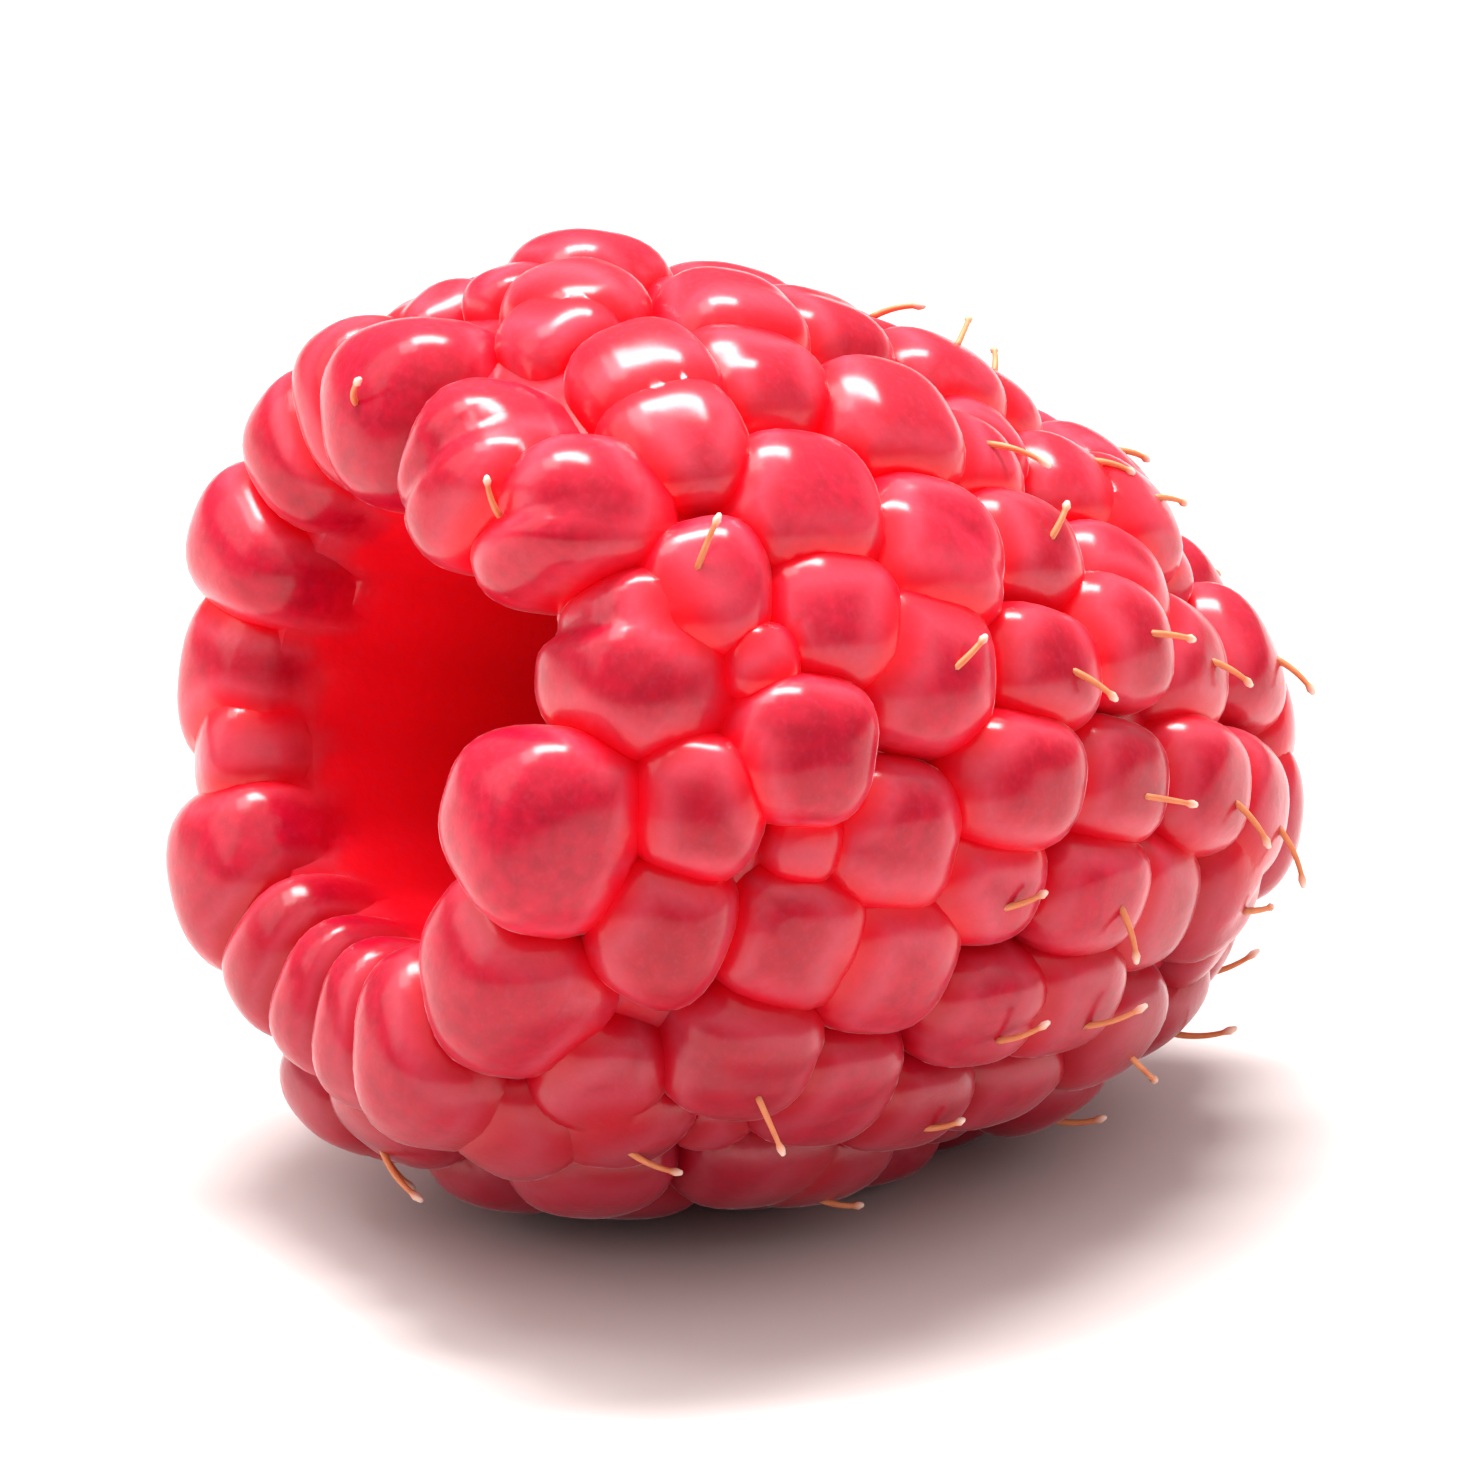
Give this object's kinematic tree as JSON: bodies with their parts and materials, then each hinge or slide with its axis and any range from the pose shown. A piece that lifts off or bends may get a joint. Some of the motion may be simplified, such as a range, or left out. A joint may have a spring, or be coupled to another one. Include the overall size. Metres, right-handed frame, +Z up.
{
  "type": "raspberry",
  "caption": "Picked ripe raspberry lying on its side: red drupelets in rows round an open tapering hollow, resting on small flattened spots of its flank.",
  "frame": {"origin": "middle of the fruit's bounding box, on the surface it lies on", "axes": "+Z up; +Y level, from the open mouth of the hollow (front) towards the tip; +X to the right, seen from the mouth"},
  "size_m": [0.0214, 0.0256, 0.0212],
  "materials": {
    "fruit_flesh": "thin juicy skin over translucent crimson flesh, soft satin gloss with a faint downy bloom"
  },
  "bodies": {
    "root": {"fruit": "fruit_flesh"}
  },
  "joints": []
}
